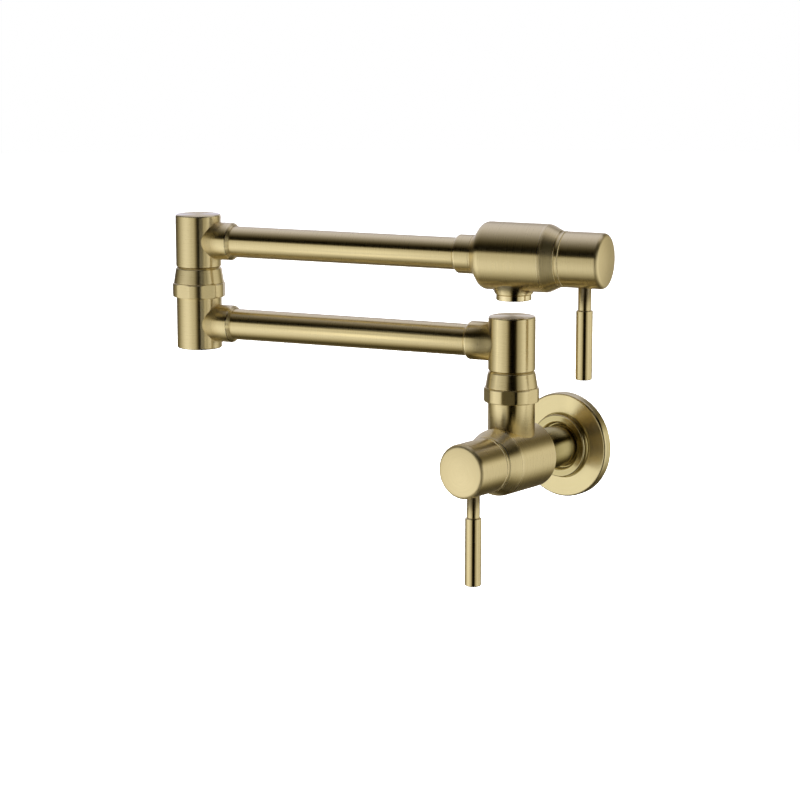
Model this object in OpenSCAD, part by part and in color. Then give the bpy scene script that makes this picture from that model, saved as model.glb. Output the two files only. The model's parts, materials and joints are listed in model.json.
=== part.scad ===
// Wall-mounted double-jointed kitchen tap, folded against the wall.
// Origin: centre of the inlet thread's mouth in the wall plane. +Z up, -Y away from the wall.

/* [Wall flange] */
// Diameter of the wall flange
flange_d = 64; // [60:0.5:80]
// Thickness of the wall flange
flange_t = 6; // [5:0.5:9]
// Outer diameter of the raised ring on the flange
hub_d = 38.4; // [36:0.2:44]
// Height of the raised ring above the flange's face
hub_h = 4; // [3:0.5:6]
// Diameter of the inlet shank
shank_d = 25; // [24:0.2:27]
// Inner diameter of the half-inch inlet thread
thread_d = 18.6; // [18.2:0.1:19]
// Length of the inlet thread
thread_l = 12.5; // [10:0.5:16]

/* [Posts and swivels] */
// Distance of the base swivel's axis from the wall
post_y = 59; // [57:0.5:80]
// Diameter of the posts
post_d = 28; // [27:0.2:30]
// Height of each post that carries an arm
tee_h = 32; // [31:0.5:40]
// Diameter of the swivel nuts over their round corners
nut_d = 32.8; // [32.4:0.2:36]
// Width of the swivel nuts across their flats
nut_af = 31.6; // [31.2:0.2:32.4]
// Height of the flatted ring of a swivel nut
nut_h = 8.8; // [8:0.2:10]
// Height of the cone above the flatted ring
cone_h = 9.9; // [9:0.1:12]
// Turn of the base nut's flats about its axis
base_nut_turn = 24; // [0:1:59]
// Turn of the elbow nut's flats about its axis
mid_nut_turn = 3; // [0:1:59]

/* [Arms] */
// Height of the lower arm's axis above the inlet
arm_z = 69.6; // [69:0.2:90]
// Distance between the base swivel's and the elbow's axes
arm_l = 208; // [150:0.5:300]
// Angle between the folded arms and the wall
arm_angle = 14; // [0:1:60]
// Diameter of the arm tubes
tube_d = 19; // [18:0.2:19.6]
// Wall thickness of the arm tubes
tube_wall = 1.5; // [1:0.1:2.5]
// Diameter of the collars on the arm tubes
collar_d = 23; // [22.4:0.2:25]
// End of the long collar at the base post, from that post's axis
base_collar_l = 25.9; // [22:0.1:40]
// End of the collars at the elbow, from the elbow's axis
elbow_collar_l = 23.8; // [20:0.1:40]
// Length of the collar at the spout valve
spout_collar_l = 9.3; // [6:0.1:20]
// Length of the chamfer from each collar to its tube
collar_chamfer = 1.8; // [0.5:0.1:2.5]

/* [Valves] */
// Diameter of both valve bodies
valve_d = 40; // [38:0.5:46]
// Length of the wall valve's body behind the base post's axis
wall_back_l = 19.6; // [18:0.2:26]
// Length of the wall valve's body before the base post's axis
wall_front_l = 16; // [15.4:0.1:17]
// Distance of the folded spout's axis beyond the base swivel's axis
spout_past = 1; // [0:0.5:40]
// Length of the spout valve's body behind the spout's axis
spout_back_l = 24; // [22:0.2:30]
// Length of the spout valve's body before the spout's axis
spout_front_l = 22.5; // [18:0.1:24]
// Length of the shoulder between the spout valve's neck and its full diameter
shoulder_l = 9; // [6:0.1:12]
// Length of the spout valve's neck
neck_l = 1; // [1:0.2:8]
// Length of the cone of a bonnet
bonnet_cone_l = 7.6; // [6.5:0.1:10]
// Length of the straight rim of a bonnet
bonnet_rim_l = 2.4; // [1.5:0.1:4]

/* [Handles] */
// Diameter of a handle's cap
cap_d = 32.6; // [32:0.2:36]
// Length of a cap's straight side
cap_l = 23.2; // [22:0.2:30]
// Height of the dome on a cap's end
dome_h = 2.8; // [1:0.2:5]
// Thickness of a cap's side wall
cap_wall = 2.4; // [1.6:0.1:3]
// Distance of the lever's axis from the cap's open edge
lever_at = 11.2; // [10:0.1:13]
// Diameter of a lever's neck
neck_d = 7.8; // [7:0.1:9]
// End of a lever's neck, from the handle's axis
neck_end = 29.2; // [22:0.2:40]
// Diameter of a lever's grip
grip_d = 9.8; // [9.2:0.1:14]
// Far end of a lever, from the handle's axis
lever_l = 70; // [55:1:90]

/* [Spout] */
// Diameter of the nozzle where it leaves the valve body
nozzle_d = 25; // [24:0.2:27]
// Length of the nozzle below the valve body
nozzle_out = 2.1; // [2:0.1:8]
// Diameter of the aerator's ring
aerator_d = 20.9; // [20.4:0.1:22]
// Height of the aerator's ring
aerator_h = 3.4; // [2.6:0.2:6]

/* [Fits] */
// Gap between pieces that are screwed or pressed together
seat_gap = 0.03; // [0.02:0.01:0.05]
// Radial gap of a piece that turns in its bore
run_gap = 0.08; // [0.03:0.01:0.1]
// Axial gap between faces that turn on each other
face_gap = 0.05; // [0.03:0.01:0.1]
// Visible gap at each swivel and behind each handle
turn_gap = 0.3; // [0.2:0.05:0.6]

/* [Hidden] */
$fn = 96;
// Overshoot of a cut past the face that it starts from
eps = 1;

brushed_gold = [0.80, 0.72, 0.50];
raw_brass = [0.72, 0.60, 0.32];
seal_black = [0.10, 0.10, 0.11];
white_ceramic = [0.93, 0.92, 0.88];
bearing_white = [0.90, 0.90, 0.86];
clip_steel = [0.65, 0.66, 0.68];
insert_grey = [0.55, 0.56, 0.58];

// Radii of the visible forms
flange_r = flange_d / 2;
hub_r = hub_d / 2;
shank_r = shank_d / 2;
thread_r = thread_d / 2;
post_r = post_d / 2;
tube_r = tube_d / 2;
collar_r = collar_d / 2;
valve_r = valve_d / 2;
cap_r = cap_d / 2;
nozzle_r = nozzle_d / 2;
aerator_r = aerator_d / 2;

// Waterways and the threads that join the pieces
water_r = 6;
way_r = 7;
outlet_r = 6.5;
spigot_r = 10.4;
spigot_l = 8;
outlet_spigot_r = 11;
outlet_spigot_in = 13.4;
relief_depth = 0.5;
relief_r = thread_r + relief_depth;
relief_l = 2.2;
washer_l = 2;

// Edges, rounds and walls of the visible forms
flange_edge_r = 1.5;
flange_wall = 3;
flange_rim_w = 3.5;
hub_wall = 3;
hub_groove = 0.6;
hub_round_r = 1.6;
edge = 0.4;
post_chamfer = 1.2;
post_end_wall = 5;
barrel_edge_r = 1.5;
shoulder_r = 5.5;
shoulder_turn = 55;
shoulder_step = 0.2;
neck_step = 0.1;
grip_edge_r = 0.9;
cap_edge_r = 0.7;
cap_edge_turn = 60;
nozzle_step = 0.7;

// Swivel: heights are from the lower face of its nut
swivel_bore_r = 9.5;
stem_r = swivel_bore_r - run_gap;
stem_bore_r = 6;
stem_flange_r = 11.6;
stem_flange_h = 1.75;
swivel_thread_r = 12.9;
swivel_thread_l = 8;
washer_h = 0.8;
washer_gap = 0.3;
washer_hole_gap = 0.1;
washer_r = swivel_thread_r - washer_gap;
washer_hole_r = swivel_bore_r + washer_hole_gap;
stem_ring_z = 2.6;
flange_z = swivel_thread_l + washer_h + face_gap;
washer2_z = flange_z + stem_flange_h + face_gap;
lip_z = washer2_z + washer_h;
nut_top = nut_h + cone_h;
tee_from = nut_top + turn_gap;
nut_chamfer = 1;
nut_top_chamfer = 1;
cone_foot_h = 0.6;
cone_step = 0.9;
cone_r = nut_d / 2 - cone_step;
cone_top_step = 0.15;
cone_top_r = post_r + cone_top_step;
// Length that a stem reaches into the post below and above it, clear of the arm's tube
stem_tube_gap = 0.7;
stem_in = (tee_h - tube_d) / 2 - stem_tube_gap;
stem_thread_r = 9;
stem_end_gap = 0.3;
// Start of each arm tube, from the axis of the post that holds it
tube_in = 10.2;

// Heights of the two nuts, the posts and the arms
base_n = arm_z - tee_h / 2 - tee_from;
base_tee_z = arm_z - tee_h / 2;
mid_n = arm_z + tee_h / 2;
mid_tee_z = mid_n + tee_from;
upper_z = mid_tee_z + tee_h / 2;

// Places along the wall valve's axis, from the wall
wall_rear = post_y - wall_back_l;
wall_front = post_y + wall_front_l;
// Places along the upper arm, from the elbow's axis
spout_l = arm_l + spout_past;
spout_rear = spout_l - spout_back_l;
spout_front = spout_l + spout_front_l;
neck_from = spout_rear - neck_l;
tube_socket_l = 6;
spout_tube_end = spout_rear + tube_socket_l;

// Cartridge: heights are from the front face of its valve body
chamber_r = spigot_r + seat_gap;
chamber_in = 24;
front_spigot_r = 13;
front_spigot_l = 2.5;
skirt_r = 8.8;
skirt_bore_r = 7.6;
skirt_in = 22;
thread_in = 8;
window_w = 6.4;
window_h = 6;
window_in = 15.4;
bonnet_l = bonnet_cone_l + bonnet_rim_l;
bonnet_wall = 1.6;
bonnet_edge = 0.3;
hex_flange_r = 12.2;
hex_flange_h = 1.8;
hex_af = 17;
hex_gap = 0.5;
hex_top = bonnet_l - bonnet_wall - hex_gap;
bearing_r = 6;
bearing_out = 2;
bearing_top = bonnet_l + bearing_out;
bonnet_hole_gap = 0.7;
bonnet_hole_r = bearing_r + bonnet_hole_gap;
spindle_r = 4.5;
disc_r = 7.4;
disc_h = 2.95;
port_out_r = 5.9;
port_in_r = 2.4;
port_half_angle = 40;
foot_w = 5;
foot_gap = 0.15;
foot_top = -thread_in - foot_gap;
foot_from = 2 * disc_h - skirt_in;
seal_r = 8.6;

// Rubber rings: section radius, and the groove that each sits in
ring_s = 0.6;
ring_w = 1.6;
ring_depth = 1.25;
ring_fn = 32;
shank_ring_z = 2;
cartridge_ring_z = 0.9;
spindle_ring_z = 2;
flange_ring_in = 1;
flange_ring_z = flange_t - flange_ring_in;

// Handle: heights are from the front face of its valve body
cap_from = bonnet_l + turn_gap;
cap_to = cap_from + cap_l;
cap_end_wall = 4;
cap_floor = cap_to - cap_end_wall;
boss_r = 9.6;
boss_in = 2.8;
boss_from = cap_from + boss_in;
insert_r = 7;
insert_end_wall = 1.2;
insert_floor_gap = 1.2;
insert_to = cap_floor - insert_floor_gap;
spline_teeth = 20;
spline_r = 4;
spline_root = 3.6;
spindle_end_gap = 0.3;
spindle_to = insert_to - insert_end_wall - spindle_end_gap;
lever_z = cap_from + lever_at;
lever_thread_r = 2.9;
lever_seat_in = 0.9;
lever_seat = cap_r - lever_seat_in;
stud_r = 2.4;
stud_l = 16;
stud_end_gap = 0.2;
clip_gap = 0.1;
clip_z = bearing_top + clip_gap;
clip_h = 0.8;
clip_r = 5.6;
clip_groove_r = 3.5;
clip_mouth_w = 3;
spline_from = clip_z + clip_h + face_gap;

// Aerator: heights are from the arm's axis, downwards
nozzle_end = valve_r + nozzle_out;
aerator_thread_r = 9.15;
aerator_thread_l = 4.1;
aerator_washer_h = 0.9;
aerator_from = nozzle_end - aerator_thread_l;
aerator_seat = aerator_from - aerator_washer_h;
aerator_bore_r = 8;
aerator_mouth_r = 7.3;
aerator_lip = 1.1;
aerator_end = nozzle_end + aerator_h;
aerator_edge_w = 0.5;
aerator_edge_h = 0.8;
jet_r = 0.8;
jet_pitch = 2.7;
jet_rings = 2;

// Frames

// Wall frame: +Z away from the wall, +X down, origin at the inlet
module at_wall() rotate([90, 0, 0]) rotate([0, 0, -90]) children();
module at_wall_front() at_wall() translate([0, 0, wall_front]) children();
// Base swivel: +Z up, +X along the lower arm towards the elbow
module at_base() translate([0, -post_y, 0]) rotate([0, 0, 180 + arm_angle]) children();
// Elbow: +Z up, +X along the folded upper arm towards the spout
module at_elbow() at_base() translate([arm_l, 0, 0]) rotate([0, 0, 180]) children();
// Arm frames: +Z along the arm, +X down
module along_arm(z) translate([0, 0, z]) rotate([0, 90, 0]) children();
module at_spout_front() at_elbow() along_arm(upper_z) translate([0, 0, spout_front]) children();
// Outlet: +Z down, on the spout's axis, from the arm's axis
module at_outlet() at_elbow() along_arm(upper_z) translate([0, 0, spout_l]) rotate([0, 90, 0]) children();

// Shared forms

// Points of an arc about a centre
function arc(cx, cy, r, a0, a1, steps = 8) =
    [for (i = [0:steps]) let (a = a0 + (a1 - a0) * i / steps) [cx + r * cos(a), cy + r * sin(a)]];

// Points of a dome from its rim to its crown
function dome(r, h, z, steps = 14) =
    let (big = (r * r + h * h) / (2 * h), half = asin(r / big))
    [for (i = [0:steps]) let (t = half * (1 - i / steps)) [big * sin(t), z + h - big + big * cos(t)]];

// Points of a splined outline
function spline(tip, root) =
    [for (i = [0:2 * spline_teeth - 1])
        let (a = 180 * i / spline_teeth, r = i % 2 == 0 ? tip : root) [r * cos(a), r * sin(a)]];

// Solid turned from points given as radius and height
module turned(points) rotate_extrude() polygon(points);

// Cylinder between two heights
module rod(r, z0, z1) translate([0, 0, z0]) cylinder(r = r, h = z1 - z0);

// Tube between two heights
module pipe(r_out, r_in, z0, z1) difference() {
    rod(r_out, z0, z1);
    rod(r_in, z0 - eps, z1 + eps);
}

// Rubber ring that seals against a bore of the given radius
module o_ring(bore_r, z) translate([0, 0, z])
    rotate_extrude() translate([bore_r - seat_gap - ring_s, 0]) circle(r = ring_s, $fn = ring_fn);

// Groove for that ring in a shaft
module o_groove(shaft_r, z) pipe(shaft_r + eps, shaft_r - ring_depth, z - ring_w / 2, z + ring_w / 2);

// Two opposite ports in a ceramic disc
module disc_ports(z0, z1) for (side = [0, 180]) rotate([0, 0, side]) intersection() {
    pipe(port_out_r, port_in_r, z0, z1);
    translate([0, 0, z0 - eps]) linear_extrude(z1 - z0 + 2 * eps)
        polygon([[0, 0], [disc_r, disc_r * tan(port_half_angle)],
                 [disc_r, -disc_r * tan(port_half_angle)]]);
}

// Inlet

module escutcheon() color(brushed_gold) at_wall() difference() {
    turned(concat(
        [[shank_r + seat_gap, 0], [flange_r, 0]],
        arc(flange_r - flange_edge_r, flange_t - flange_edge_r, flange_edge_r, 0, 90),
        [[hub_r + hub_groove, flange_t], [hub_r + hub_groove, flange_t - hub_groove],
         [hub_r, flange_t - hub_groove]],
        arc(hub_r - hub_round_r, flange_t + hub_h - hub_round_r, hub_round_r, 0, 90),
        arc(shank_r + edge + hub_round_r, flange_t + hub_h - hub_round_r, hub_round_r, 90, 180),
        [[shank_r + seat_gap, flange_t + edge]]));
    pipe(flange_r - flange_rim_w, hub_r - hub_wall, -eps, flange_t - flange_wall);
    rod(shank_r + ring_depth, flange_ring_z - ring_w / 2, flange_ring_z + ring_w / 2);
}

// Rubber ring in the flange that grips the shank
module escutcheon_o_ring() color(seal_black) at_wall() translate([0, 0, flange_ring_z])
    rotate_extrude() translate([shank_r + seat_gap + ring_s, 0]) circle(r = ring_s, $fn = ring_fn);

module inlet_shank() color(brushed_gold) at_wall() difference() {
    union() {
        rod(shank_r, 0, wall_rear);
        rod(spigot_r, wall_rear - eps, wall_rear + spigot_l);
    }
    rod(thread_r, -eps, thread_l);
    rod(relief_r, thread_l, thread_l + relief_l);
    rod(water_r, thread_l, wall_rear + spigot_l + eps);
    o_groove(spigot_r, wall_rear + shank_ring_z);
}

module inlet_washer() color(seal_black) at_wall()
    pipe(thread_r, way_r, thread_l + relief_l - washer_l, thread_l + relief_l);

module shank_o_ring() color(seal_black) at_wall() o_ring(spigot_r + seat_gap, wall_rear + shank_ring_z);

// Valve: each module is drawn from the front face of its valve body

module cartridge_space() {
    rod(chamber_r, -chamber_in, front_spigot_l + eps);
}

module seat_seal() color(seal_black) pipe(seal_r, water_r, -chamber_in, -skirt_in);

module fixed_disc() color(white_ceramic) difference() {
    rod(disc_r, -skirt_in, -skirt_in + disc_h);
    rotate([0, 0, 90]) disc_ports(-skirt_in - eps, -skirt_in + disc_h + eps);
}

module moving_disc() color(white_ceramic) difference() {
    rod(disc_r, -skirt_in + disc_h + face_gap, -skirt_in + 2 * disc_h);
    disc_ports(-skirt_in + disc_h - eps, -skirt_in + 2 * disc_h + eps);
}

module cartridge_body() color(raw_brass) difference() {
    union() {
        rod(skirt_r, -skirt_in, -thread_in + eps);
        rod(spigot_r, -thread_in, front_spigot_l + eps);
        rod(hex_flange_r, front_spigot_l, front_spigot_l + hex_flange_h);
        rod(bearing_r, front_spigot_l, bearing_top);
        translate([0, 0, front_spigot_l])
            cylinder(r = hex_af / 2 / cos(30), h = hex_top - front_spigot_l, $fn = 6);
    }
    rod(skirt_bore_r, -skirt_in - eps, -thread_in);
    rod(spindle_r + run_gap, -thread_in - eps, bearing_top + eps);
    for (side = [0, 90])
        rotate([0, 0, side]) translate([-skirt_r - eps, -window_w / 2, -window_in])
            cube([2 * skirt_r + 2 * eps, window_w, window_h]);
    o_groove(spigot_r, cartridge_ring_z);
}

module cartridge_o_ring() color(seal_black) o_ring(chamber_r, cartridge_ring_z);

module spindle() color(raw_brass) {
    intersection() {
        rod(disc_r, foot_from, foot_top);
        translate([-foot_w / 2, -disc_r - eps, foot_from - eps])
            cube([foot_w, 2 * disc_r + 2 * eps, foot_top - foot_from + 2 * eps]);
    }
    difference() {
        rod(spindle_r, foot_top, clip_z - face_gap);
        o_groove(spindle_r, spindle_ring_z);
    }
    rod(clip_groove_r, clip_z - face_gap, spline_from);
    translate([0, 0, spline_from])
        linear_extrude(spindle_to - spline_from) polygon(spline(spline_r, spline_root));
}

module spindle_o_ring() color(seal_black) o_ring(spindle_r + run_gap, spindle_ring_z);

// Spring clip that keeps the spindle in its cartridge
module spindle_clip() color(clip_steel) difference() {
    pipe(clip_r, clip_groove_r + seat_gap, clip_z, clip_z + clip_h);
    translate([-clip_r - eps, -clip_mouth_w / 2, clip_z - eps])
        cube([clip_r + eps, clip_mouth_w, clip_h + 2 * eps]);
}

module bonnet() color(brushed_gold) difference() {
    turned([[bonnet_hole_r, 0], [valve_r - bonnet_edge, 0], [valve_r, bonnet_edge],
            [cap_r, bonnet_cone_l], [cap_r, bonnet_l - bonnet_edge],
            [cap_r - bonnet_edge, bonnet_l], [bonnet_hole_r, bonnet_l]]);
    rod(front_spigot_r + seat_gap, -eps, bonnet_l - bonnet_wall);
}

// Handle, drawn from the front face of its valve body, with its lever along +X

module spline_insert() color(insert_grey) difference() {
    rod(insert_r, boss_from, insert_to);
    translate([0, 0, boss_from - eps]) linear_extrude(insert_to - boss_from - insert_end_wall + eps)
        polygon(spline(spline_r + seat_gap, spline_root + seat_gap));
    translate([0, 0, lever_z]) rotate([0, 90, 0]) cylinder(r = lever_thread_r + seat_gap, h = cap_r);
}

module handle_cap() color(brushed_gold) difference() {
    turned(concat(
        [[0, cap_from], [cap_r - edge, cap_from], [cap_r, cap_from + edge]],
        arc(cap_r - cap_edge_r, cap_to - cap_edge_r, cap_edge_r, 0, cap_edge_turn, 4),
        dome(cap_r - cap_edge_r, dome_h, cap_to)));
    difference() {
        rod(cap_r - cap_wall, cap_from - eps, cap_floor);
        rod(boss_r, boss_from, cap_floor + eps);
    }
    rod(insert_r + seat_gap, boss_from - eps, insert_to);
    translate([0, 0, lever_z]) rotate([0, 90, 0]) {
        cylinder(r = lever_thread_r + seat_gap, h = cap_r);
        rod(neck_d / 2 + seat_gap, lever_seat, cap_r + eps);
    }
}

module lever_rod() color(brushed_gold) translate([0, 0, lever_z]) rotate([0, 90, 0]) {
    rod(lever_thread_r, spline_r + seat_gap, lever_seat);
    rod(neck_d / 2, lever_seat, neck_end);
    rod(stud_r, neck_end, neck_end + stud_l);
}

module lever_grip() color(brushed_gold) translate([0, 0, lever_z]) rotate([0, 90, 0]) difference() {
    turned(concat(
        [[0, neck_end], [grip_d / 2 - edge, neck_end], [grip_d / 2, neck_end + edge]],
        arc(grip_d / 2 - grip_edge_r, lever_l - grip_edge_r, grip_edge_r, 0, 90, 6),
        [[0, lever_l]]));
    rod(stud_r + seat_gap, neck_end - eps, neck_end + stud_l + stud_end_gap);
}

// Valve bodies

module wall_valve_body() color(brushed_gold) difference() {
    at_wall() difference() {
        union() {
            turned(concat(
                [[0, wall_rear], [valve_r - barrel_edge_r, wall_rear]],
                arc(valve_r - barrel_edge_r, wall_rear + barrel_edge_r, barrel_edge_r, -90, 0),
                [[valve_r, wall_front], [0, wall_front]]));
            rod(front_spigot_r, wall_front - eps, wall_front + front_spigot_l);
        }
        rod(spigot_r + seat_gap, wall_rear - eps, wall_rear + spigot_l);
        rod(water_r, wall_rear, wall_front);
        translate([0, 0, wall_front]) cartridge_space();
    }
    translate([0, -post_y, 0]) {
        rod(outlet_spigot_r + seat_gap, outlet_spigot_in, valve_r + eps);
        rod(outlet_r, chamber_r - eps, outlet_spigot_in + eps);
    }
}

module spout_valve_body() color(brushed_gold) difference() {
    at_elbow() along_arm(upper_z) difference() {
        union() {
            turned(concat(
                [[0, neck_from], [collar_r - neck_step, neck_from],
                 [collar_r - neck_step, spout_rear], [collar_r + shoulder_step, spout_rear]],
                arc(valve_r - shoulder_r, spout_rear + shoulder_l, shoulder_r, -shoulder_turn, 0, 6),
                [[valve_r, spout_front], [0, spout_front]]));
            rod(front_spigot_r, spout_front - eps, spout_front + front_spigot_l);
        }
        rod(tube_r + seat_gap, neck_from - eps, spout_tube_end);
        rod(water_r, spout_tube_end - eps, spout_front);
        translate([0, 0, spout_front]) cartridge_space();
    }
    at_outlet() {
        rod(outlet_spigot_r + seat_gap, outlet_spigot_in, valve_r + eps);
        rod(outlet_r, chamber_r - eps, outlet_spigot_in + eps);
    }
}

// Swivels: each module is drawn from the lower face of its nut

// Threaded and bored top of the post under a nut
module swivel_seat() rod(swivel_thread_r, -eps, swivel_thread_l);
module swivel_bore() rod(swivel_bore_r, -stem_in - stem_end_gap, swivel_thread_l + eps);

module swivel_washers() color(bearing_white) {
    pipe(washer_r, washer_hole_r, swivel_thread_l, swivel_thread_l + washer_h);
    pipe(washer_r, washer_hole_r, washer2_z, lip_z);
}

module swivel_nut(turn) color(brushed_gold) difference() {
    union() {
        intersection() {
            turned([[0, 0], [nut_d / 2 - nut_chamfer, 0], [nut_d / 2, nut_chamfer],
                    [nut_d / 2, nut_h - nut_chamfer], [nut_d / 2 - nut_chamfer, nut_h], [0, nut_h]]);
            rotate([0, 0, turn]) translate([0, 0, -eps])
                cylinder(r = nut_af / 2 / cos(30), h = nut_h + 2 * eps, $fn = 6);
        }
        turned([[0, nut_h - eps], [cone_r, nut_h - eps], [cone_r, nut_h + cone_foot_h],
                [cone_top_r, nut_top - nut_top_chamfer],
                [cone_top_r - nut_top_chamfer, nut_top], [0, nut_top]]);
    }
    rod(swivel_thread_r + seat_gap, -eps, lip_z);
    rod(swivel_bore_r, lip_z - eps, nut_top + eps);
}

module swivel_stem() color(raw_brass) difference() {
    union() {
        rod(stem_r, -stem_in, tee_from);
        rod(stem_flange_r, flange_z, flange_z + stem_flange_h);
        rod(stem_thread_r, tee_from - eps, tee_from + stem_in);
    }
    rod(stem_bore_r, -stem_in - eps, tee_from + stem_in + eps);
    o_groove(stem_r, -stem_ring_z);
    o_groove(stem_r, stem_ring_z);
}

module stem_o_rings() color(seal_black) {
    o_ring(swivel_bore_r, -stem_ring_z);
    o_ring(swivel_bore_r, stem_ring_z);
}

// Posts

// Post with a blind end above and a threaded bore below
module hanging_post(z) difference() {
    turned([[0, z], [post_r - edge, z], [post_r, z + edge], [post_r, z + tee_h - post_chamfer],
            [post_r - post_chamfer, z + tee_h], [0, z + tee_h]]);
    rod(stem_thread_r + seat_gap, z - eps, z + stem_in + stem_end_gap);
    rod(way_r, z, z + tee_h - post_end_wall);
    along_arm(z + tee_h / 2) rod(tube_r + seat_gap, tube_in - seat_gap, post_r + eps);
    along_arm(z + tee_h / 2) rod(tube_r - tube_wall, 0, tube_in);
}

module base_post() color(brushed_gold) translate([0, -post_y, 0]) difference() {
    union() {
        difference() {
            rod(post_r, 0, base_n);
            rotate([90, 0, 0]) rod(valve_r + seat_gap, -post_d, post_d);
        }
        rod(outlet_spigot_r, outlet_spigot_in, base_n);
        translate([0, 0, base_n]) swivel_seat();
    }
    rod(way_r, 0, base_n);
    translate([0, 0, base_n]) swivel_bore();
}

module elbow_lower_post() color(brushed_gold) at_elbow() difference() {
    union() {
        turned([[0, base_tee_z], [post_r - post_chamfer, base_tee_z],
                [post_r, base_tee_z + post_chamfer], [post_r, mid_n], [0, mid_n]]);
        translate([0, 0, mid_n]) swivel_seat();
    }
    rod(way_r, base_tee_z + post_end_wall, mid_n);
    translate([0, 0, mid_n]) swivel_bore();
    along_arm(arm_z) rod(tube_r + seat_gap, tube_in - seat_gap, post_r + eps);
    along_arm(arm_z) rod(tube_r - tube_wall, 0, tube_in);
}

// Arms

module arm_tube(from, to) pipe(tube_r, tube_r - tube_wall, from, to);

// Collar seated on a post, drawn along the arm from the post's axis
module post_collar(to) difference() {
    turned([[tube_r + seat_gap, 0], [collar_r, 0], [collar_r, to],
            [tube_r + seat_gap, to + collar_chamfer]]);
    rotate([0, 90, 0]) rod(post_r + seat_gap, -post_d, post_d);
}

// Collar between the upper arm's tube and the spout valve's neck
module upper_outer_collar() color(brushed_gold) at_elbow() along_arm(upper_z)
    turned([[tube_r + seat_gap, neck_from], [collar_r, neck_from],
            [collar_r, neck_from - spout_collar_l],
            [tube_r + seat_gap, neck_from - spout_collar_l - collar_chamfer]]);

// Spout

module spout_nozzle() color(brushed_gold) at_outlet() difference() {
    union() {
        difference() {
            turned([[0, 0], [nozzle_r, 0], [nozzle_r, outlet_spigot_in],
                    [aerator_r + nozzle_step, nozzle_end - edge],
                    [aerator_r, nozzle_end], [0, nozzle_end]]);
            rotate([0, 90, 0]) rod(valve_r + seat_gap, -post_d, post_d);
        }
        rod(outlet_spigot_r, outlet_spigot_in, valve_r);
    }
    rod(outlet_r, 0, nozzle_end);
    rod(aerator_thread_r + seat_gap, aerator_seat, nozzle_end + eps);
}

module aerator_washer() color(seal_black) at_outlet()
    pipe(aerator_thread_r, outlet_r, aerator_seat, aerator_from);

module aerator_housing() color(brushed_gold) at_outlet() difference() {
    union() {
        rod(aerator_thread_r, aerator_from, nozzle_end + edge);
        turned([[0, nozzle_end], [aerator_r, nozzle_end], [aerator_r, aerator_end - aerator_edge_h],
                [aerator_r - aerator_edge_w, aerator_end], [0, aerator_end]]);
    }
    rod(aerator_bore_r, aerator_seat, aerator_end - aerator_lip);
    rod(aerator_mouth_r, aerator_seat, aerator_end + eps);
}

module aerator_insert() color(insert_grey) at_outlet() difference() {
    rod(aerator_bore_r - seat_gap, aerator_from, aerator_end - aerator_lip);
    rod(jet_r, aerator_seat, aerator_end);
    for (ring = [1:jet_rings], i = [0:6 * ring - 1])
        rotate([0, 0, 60 * i / ring]) translate([jet_pitch * ring, 0, 0])
            rod(jet_r, aerator_seat, aerator_end);
}

escutcheon();
escutcheon_o_ring();
inlet_shank();
inlet_washer();
shank_o_ring();
wall_valve_body();
at_wall_front() seat_seal();  // wall_seat_seal
at_wall_front() fixed_disc();  // wall_fixed_disc
at_wall_front() cartridge_body();  // wall_cartridge_body
at_wall_front() cartridge_o_ring();  // wall_cartridge_o_ring
at_wall_front() bonnet();  // wall_bonnet
base_post();
at_base() translate([0, 0, base_n]) swivel_washers();  // base_swivel_washers
translate([0, -post_y, base_n]) swivel_nut(base_nut_turn);  // base_swivel_nut
at_wall_front() moving_disc();  // wall_moving_disc
at_wall_front() spindle();  // wall_spindle
at_wall_front() spindle_o_ring();  // wall_spindle_o_ring
at_wall_front() spindle_clip();  // wall_spindle_clip
at_wall_front() spline_insert();  // wall_spline_insert
at_wall_front() handle_cap();  // wall_handle_cap
at_wall_front() lever_rod();  // wall_lever_rod
at_wall_front() lever_grip();  // wall_lever_grip
at_base() translate([0, 0, base_n]) swivel_stem();  // base_swivel_stem
at_base() translate([0, 0, base_n]) stem_o_rings();  // base_stem_o_rings
color(brushed_gold) at_base() hanging_post(base_tee_z);  // lower_arm_post
color(brushed_gold) at_base() along_arm(arm_z) post_collar(base_collar_l);  // lower_inner_collar
color(brushed_gold) at_base() along_arm(arm_z) arm_tube(tube_in, arm_l - tube_in);  // lower_arm_tube
color(brushed_gold) at_elbow() along_arm(arm_z) post_collar(elbow_collar_l);  // lower_outer_collar
elbow_lower_post();
at_elbow() translate([0, 0, mid_n]) swivel_washers();  // mid_swivel_washers
at_elbow() translate([0, 0, mid_n]) swivel_nut(mid_nut_turn - arm_angle);  // mid_swivel_nut
at_elbow() translate([0, 0, mid_n]) swivel_stem();  // mid_swivel_stem
at_elbow() translate([0, 0, mid_n]) stem_o_rings();  // mid_stem_o_rings
color(brushed_gold) at_elbow() hanging_post(mid_tee_z);  // elbow_upper_post
color(brushed_gold) at_elbow() along_arm(upper_z) post_collar(elbow_collar_l);  // upper_inner_collar
color(brushed_gold) at_elbow() along_arm(upper_z) arm_tube(tube_in, spout_tube_end);  // upper_arm_tube
upper_outer_collar();
spout_valve_body();
at_spout_front() seat_seal();  // spout_seat_seal
at_spout_front() fixed_disc();  // spout_fixed_disc
at_spout_front() cartridge_body();  // spout_cartridge_body
at_spout_front() cartridge_o_ring();  // spout_cartridge_o_ring
at_spout_front() bonnet();  // spout_bonnet
spout_nozzle();
aerator_washer();
aerator_insert();
aerator_housing();
at_spout_front() moving_disc();  // spout_moving_disc
at_spout_front() spindle();  // spout_spindle
at_spout_front() spindle_o_ring();  // spout_spindle_o_ring
at_spout_front() spindle_clip();  // spout_spindle_clip
at_spout_front() spline_insert();  // spout_spline_insert
at_spout_front() handle_cap();  // spout_handle_cap
at_spout_front() lever_rod();  // spout_lever_rod
at_spout_front() lever_grip();  // spout_lever_grip
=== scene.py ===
"""Folding wall tap in brushed gold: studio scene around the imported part."""

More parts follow.
